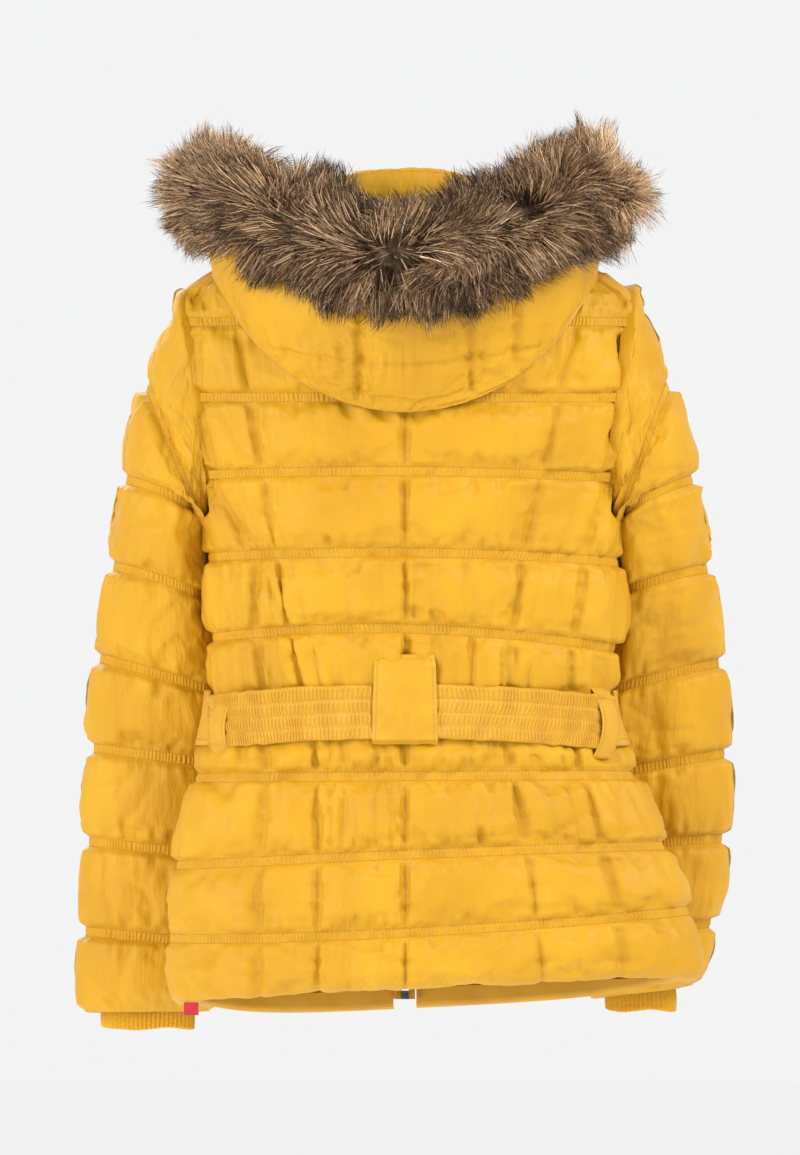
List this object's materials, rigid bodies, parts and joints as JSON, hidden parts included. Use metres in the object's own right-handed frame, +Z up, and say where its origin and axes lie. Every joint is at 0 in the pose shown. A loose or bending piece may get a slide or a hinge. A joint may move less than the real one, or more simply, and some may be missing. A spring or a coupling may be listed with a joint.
{
  "type": "hooded quilted jacket",
  "caption": "Hip-length quilted jacket with a stand collar, front zip, fur-edged hood, knitted inner cuffs and a shirred waist belt, as it hangs.",
  "frame": {"origin": "middle of the neck opening, level with the back neck seam, where a hanger's hook comes up", "axes": "+Z up, -Y out of the front, +X to the wearer's left; millimetres in the source, metres here"},
  "size_m": [0.58, 0.346, 0.7877],
  "materials": {
    "shell_nylon": "satin coated woven nylon, quilted",
    "lining": "smooth woven lining",
    "rib_knit": "matte rib knit",
    "shirred_elastic": "satin nylon shirred over elastic",
    "fur": "long imitation fur with dark tips",
    "zip_tape": "matte woven tape",
    "zip_teeth": "moulded, dark",
    "zip_metal": "dark antique",
    "buckle_metal": "dark antique",
    "label": "woven, blank"
  },
  "bodies": {
    "torso": {"back_belt_keeper": "shell_nylon", "back_centre_left": "shell_nylon", "back_centre_right": "shell_nylon", "back_princess_left": "shell_nylon", "back_princess_right": "shell_nylon", "back_side_left": "shell_nylon", "back_side_right": "shell_nylon", "belt_elastic_left": "shirred_elastic", "belt_elastic_right": "shirred_elastic", "belt_eyelets": "buckle_metal", "belt_front_left": "shell_nylon", "belt_front_right": "shell_nylon", "belt_loop_left": "shell_nylon", "belt_loop_right": "shell_nylon", "belt_side_left": "shell_nylon", "belt_side_right": "shell_nylon", "belt_tip_loop": "shell_nylon", "body_lining": "lining", "buckle_frame": "buckle_metal", "buckle_prong": "buckle_metal", "collar": "shell_nylon", "collar_lining": "lining", "front_centre_left": "shell_nylon", "front_centre_right": "shell_nylon", "front_side_left": "shell_nylon", "front_side_right": "shell_nylon", "hang_loop": "shell_nylon", "hem_facing": "shell_nylon", "placket_guard": "shell_nylon", "pocket_bag_left": "lining", "pocket_bag_right": "lining", "pocket_welt_left": "shell_nylon", "pocket_welt_right": "shell_nylon", "side_label": "label", "zip_bottom_box": "zip_metal", "zip_tapes": "zip_tape", "zip_teeth_left": "zip_teeth", "zip_teeth_right": "zip_teeth", "zip_top_stops": "zip_metal"},
    "left_sleeve": {"cuff_left": "rib_knit", "sleeve_left_lining": "lining", "sleeve_left_top": "shell_nylon", "sleeve_left_under": "shell_nylon"},
    "right_sleeve": {"cuff_right": "rib_knit", "sleeve_right_lining": "lining", "sleeve_right_top": "shell_nylon", "sleeve_right_under": "shell_nylon"},
    "hood": {"fur_trim": "fur", "hood_centre_panel": "shell_nylon", "hood_left_panel": "shell_nylon", "hood_lining": "lining", "hood_right_panel": "shell_nylon"},
    "zip_slider": {"zip_slider": "zip_metal"},
    "zip_pull": {"zip_pull": "zip_metal"}
  },
  "joints": [
    {"name": "left_shoulder", "type": "hinge", "parent": "torso", "child": "left_sleeve", "pos_m": [0.196, 0, -0.044], "axis": [0, -1, 0], "range_deg": [0, 60]},
    {"name": "right_shoulder", "type": "hinge", "parent": "torso", "child": "right_sleeve", "pos_m": [-0.203, 0, -0.04], "axis": [0, 1, 0], "range_deg": [0, 60]},
    {"name": "hood_lift", "type": "hinge", "parent": "torso", "child": "hood", "pos_m": [0, -0.085, -0.005], "axis": [1, 0, 0], "range_deg": [0, 75]},
    {"name": "zip_slide", "type": "slide", "parent": "torso", "child": "zip_slider", "axis": [0, 0, -1], "range_m": [0, 0.33]},
    {"name": "zip_pull_swing", "type": "hinge", "parent": "zip_slider", "child": "zip_pull", "pos_m": [0, -0.087, -0.016], "axis": [-1, 0, 0], "range_deg": [0, 150]}
  ]
}
